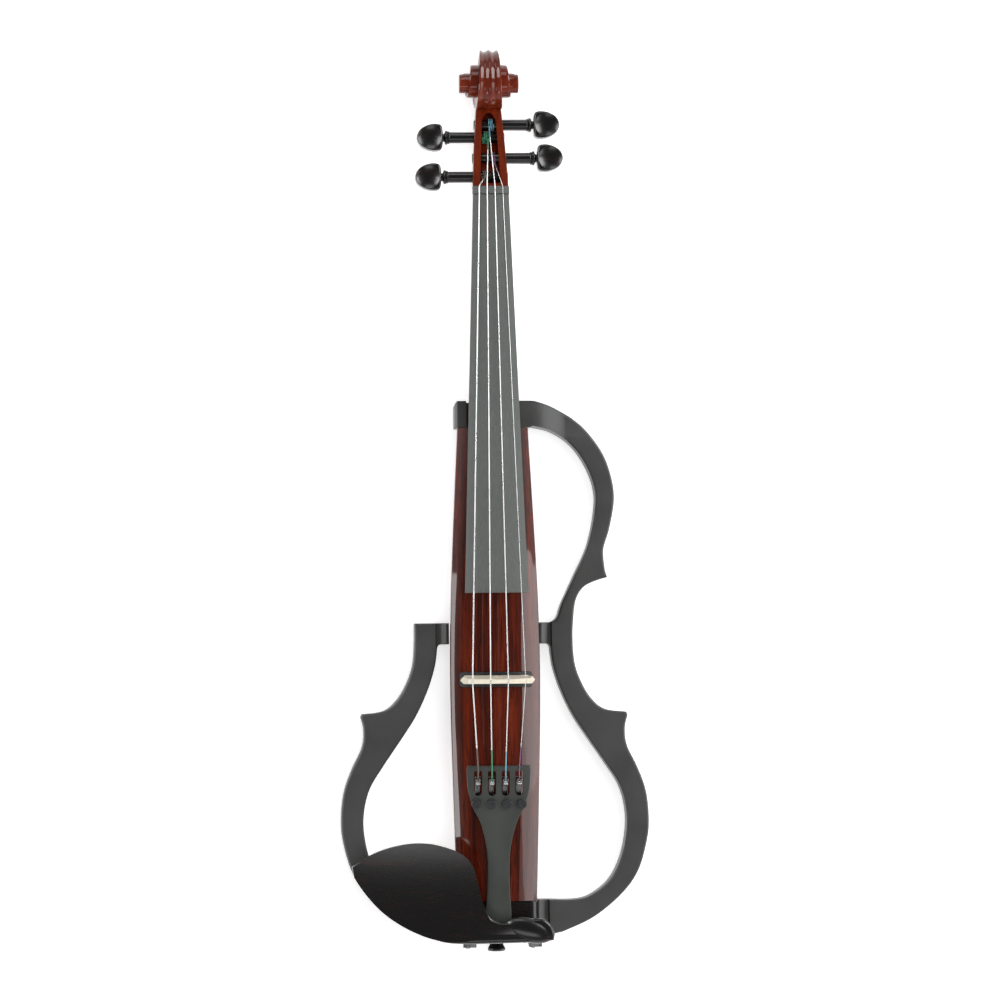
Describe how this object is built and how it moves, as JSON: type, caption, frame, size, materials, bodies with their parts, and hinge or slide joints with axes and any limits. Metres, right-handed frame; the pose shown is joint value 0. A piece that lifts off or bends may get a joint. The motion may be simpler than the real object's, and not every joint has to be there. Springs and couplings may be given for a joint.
{
  "type": "electric violin",
  "caption": "Electric violin with a slim solid body, open black side frames, carved scroll, pegs, tuner tailpiece and a side chinrest.",
  "frame": {"origin": "on the flat back of the body, straight below the foot of the bridge", "axes": "+Y along the neck to the scroll, +Z from the back to the strings, +X to the side of the highest string"},
  "size_m": [0.2084, 0.6115, 0.076],
  "materials": {
    "red_lacquer": "clear gloss lacquer over red-brown stained wood",
    "satin_black": "satin black",
    "board_black": "dull black board",
    "ebony": "polished black wood",
    "black_plastic": "satin black",
    "maple": "pale unvarnished maple",
    "bright_steel": "bright",
    "cork": "ground cork, matt",
    "battery_case": "plain printed can, bare of words",
    "circuit_board": "green board",
    "string_silk": "wound silk, a colour for each string"
  },
  "bodies": {
    "instrument": {"body_core": "red_lacquer", "neck_and_scroll": "red_lacquer", "frame_left": "satin_black", "frame_right": "satin_black", "fingerboard": "board_black", "nut": "board_black", "tail_block": "ebony", "saddle": "ebony", "end_button": "ebony", "chinrest": "ebony", "pickup_seat": "black_plastic", "tailpiece": "black_plastic", "tailgut": "black_plastic", "control_cover": "black_plastic", "output_socket": "black_plastic", "phones_socket": "black_plastic", "bridge": "maple", "clamp_post_left": "bright_steel", "clamp_post_right": "bright_steel", "cover_screw_1": "bright_steel", "cover_screw_2": "bright_steel", "cover_screw_3": "bright_steel", "cover_screw_4": "bright_steel", "string_g": "bright_steel", "string_d": "bright_steel", "string_a": "bright_steel", "string_e": "bright_steel", "chinrest_cork_left": "cork", "chinrest_cork_right": "cork", "battery": "battery_case", "preamp_board": "circuit_board"},
    "peg_g": {"peg_g": "ebony", "string_winding_g": "string_silk"},
    "peg_d": {"peg_d": "ebony", "string_winding_d": "string_silk"},
    "peg_a": {"peg_a": "ebony", "string_winding_a": "string_silk"},
    "peg_e": {"peg_e": "ebony", "string_winding_e": "string_silk"},
    "tuner_screw_g": {"tuner_shank_g": "bright_steel"},
    "tuner_thumb_g": {"tuner_head_g": "black_plastic"},
    "tuner_arm_g": {"tuner_lever_g": "bright_steel"},
    "tuner_screw_d": {"tuner_shank_d": "bright_steel"},
    "tuner_thumb_d": {"tuner_head_d": "black_plastic"},
    "tuner_arm_d": {"tuner_lever_d": "bright_steel"},
    "tuner_screw_a": {"tuner_shank_a": "bright_steel"},
    "tuner_thumb_a": {"tuner_head_a": "black_plastic"},
    "tuner_arm_a": {"tuner_lever_a": "bright_steel"},
    "tuner_screw_e": {"tuner_shank_e": "bright_steel"},
    "tuner_thumb_e": {"tuner_head_e": "black_plastic"},
    "tuner_arm_e": {"tuner_lever_e": "bright_steel"},
    "clamp_barrel_left": {"clamp_barrel_left": "bright_steel"},
    "clamp_barrel_right": {"clamp_barrel_right": "bright_steel"},
    "clamp_foot": {"clamp_foot": "bright_steel", "clamp_foot_cork": "cork"},
    "volume_knob": {"volume_knob": "black_plastic"},
    "tone_knob": {"tone_knob": "black_plastic"},
    "power_switch": {"power_switch": "black_plastic"},
    "battery_door": {"battery_door": "black_plastic"}
  },
  "joints": [
    {"name": "peg_turn_g", "type": "hinge", "parent": "instrument", "child": "peg_g", "pos_m": [0, 0.34061, 0.02796], "axis": [1, 0, 0], "continuous": true},
    {"name": "peg_turn_d", "type": "hinge", "parent": "instrument", "child": "peg_d", "pos_m": [0, 0.36839, 0.02058], "axis": [1, 0, 0], "continuous": true},
    {"name": "peg_turn_a", "type": "hinge", "parent": "instrument", "child": "peg_a", "pos_m": [0, 0.37721, 0.01822], "axis": [1, 0, 0], "continuous": true},
    {"name": "peg_turn_e", "type": "hinge", "parent": "instrument", "child": "peg_e", "pos_m": [0, 0.35372, 0.02476], "axis": [1, 0, 0], "continuous": true},
    {"name": "tuner_feed_g", "type": "slide", "parent": "instrument", "child": "tuner_screw_g", "axis": [0, -0.1218, 0.9925], "range_m": [-0.0012, 0.0006]},
    {"name": "tuner_turn_g", "type": "hinge", "parent": "tuner_screw_g", "child": "tuner_thumb_g", "pos_m": [-0.01545, -0.08301, 0.05793], "axis": [0, -0.1218, 0.9925], "range_deg": [-725, 365]},
    {"name": "tuner_tilt_g", "type": "hinge", "parent": "instrument", "child": "tuner_arm_g", "pos_m": [-0.0138, -0.06606, 0.05276], "axis": [1, 0, 0], "range_deg": [-2.2, 4.3]},
    {"name": "tuner_feed_d", "type": "slide", "parent": "instrument", "child": "tuner_screw_d", "axis": [0, -0.1218, 0.9925], "range_m": [-0.0012, 0.0006]},
    {"name": "tuner_turn_d", "type": "hinge", "parent": "tuner_screw_d", "child": "tuner_thumb_d", "pos_m": [-0.00515, -0.08301, 0.05793], "axis": [0, -0.1218, 0.9925], "range_deg": [-725, 365]},
    {"name": "tuner_tilt_d", "type": "hinge", "parent": "instrument", "child": "tuner_arm_d", "pos_m": [-0.0046, -0.06606, 0.05276], "axis": [1, 0, 0], "range_deg": [-2.2, 4.3]},
    {"name": "tuner_feed_a", "type": "slide", "parent": "instrument", "child": "tuner_screw_a", "axis": [0, -0.1218, 0.9925], "range_m": [-0.0012, 0.0006]},
    {"name": "tuner_turn_a", "type": "hinge", "parent": "tuner_screw_a", "child": "tuner_thumb_a", "pos_m": [0.00515, -0.08301, 0.05793], "axis": [0, -0.1218, 0.9925], "range_deg": [-725, 365]},
    {"name": "tuner_tilt_a", "type": "hinge", "parent": "instrument", "child": "tuner_arm_a", "pos_m": [0.0046, -0.06606, 0.05276], "axis": [1, 0, 0], "range_deg": [-2.2, 4.3]},
    {"name": "tuner_feed_e", "type": "slide", "parent": "instrument", "child": "tuner_screw_e", "axis": [0, -0.1218, 0.9925], "range_m": [-0.0012, 0.0006]},
    {"name": "tuner_turn_e", "type": "hinge", "parent": "tuner_screw_e", "child": "tuner_thumb_e", "pos_m": [0.01545, -0.08301, 0.05793], "axis": [0, -0.1218, 0.9925], "range_deg": [-725, 365]},
    {"name": "tuner_tilt_e", "type": "hinge", "parent": "instrument", "child": "tuner_arm_e", "pos_m": [0.0138, -0.06606, 0.05276], "axis": [1, 0, 0], "range_deg": [-2.2, 4.3]},
    {"name": "clamp_turn_left", "type": "hinge", "parent": "instrument", "child": "clamp_barrel_left", "pos_m": [-0.0198, -0.17765, 0.0205], "axis": [0, 0, 1], "range_deg": [-3, 363]},
    {"name": "clamp_turn_right", "type": "hinge", "parent": "instrument", "child": "clamp_barrel_right", "pos_m": [0.0242, -0.17765, 0.0205], "axis": [0, 0, 1], "range_deg": [-3, 363]},
    {"name": "clamp_open", "type": "slide", "parent": "instrument", "child": "clamp_foot", "axis": [0, 0, -1], "range_m": [0, 0.0014]},
    {"name": "volume_turn", "type": "hinge", "parent": "instrument", "child": "volume_knob", "pos_m": [-0.0095, -0.066, 0.003], "axis": [0, 0, 1], "range_deg": [-140, 140]},
    {"name": "tone_turn", "type": "hinge", "parent": "instrument", "child": "tone_knob", "pos_m": [0.0095, -0.066, 0.003], "axis": [0, 0, 1], "range_deg": [-140, 140]},
    {"name": "power_slide", "type": "slide", "parent": "instrument", "child": "power_switch", "axis": [1, 0, 0], "range_m": [0, 0.005]},
    {"name": "door_slide", "type": "slide", "parent": "instrument", "child": "battery_door", "axis": [0, -1, 0], "range_m": [0, 0.02]}
  ],
  "couplings": [
    {"joint": "tuner_turn_g", "follows": "tuner_feed_g", "rad_per_m": 10472},
    {"joint": "tuner_tilt_g", "follows": "tuner_feed_g", "rad_per_m": -61.728},
    {"joint": "tuner_turn_d", "follows": "tuner_feed_d", "rad_per_m": 10472},
    {"joint": "tuner_tilt_d", "follows": "tuner_feed_d", "rad_per_m": -61.728},
    {"joint": "tuner_turn_a", "follows": "tuner_feed_a", "rad_per_m": 10472},
    {"joint": "tuner_tilt_a", "follows": "tuner_feed_a", "rad_per_m": -61.728},
    {"joint": "tuner_turn_e", "follows": "tuner_feed_e", "rad_per_m": 10472},
    {"joint": "tuner_tilt_e", "follows": "tuner_feed_e", "rad_per_m": -61.728},
    {"joint": "clamp_turn_left", "follows": "clamp_open", "rad_per_m": 4488},
    {"joint": "clamp_turn_right", "follows": "clamp_open", "rad_per_m": 4488}
  ]
}
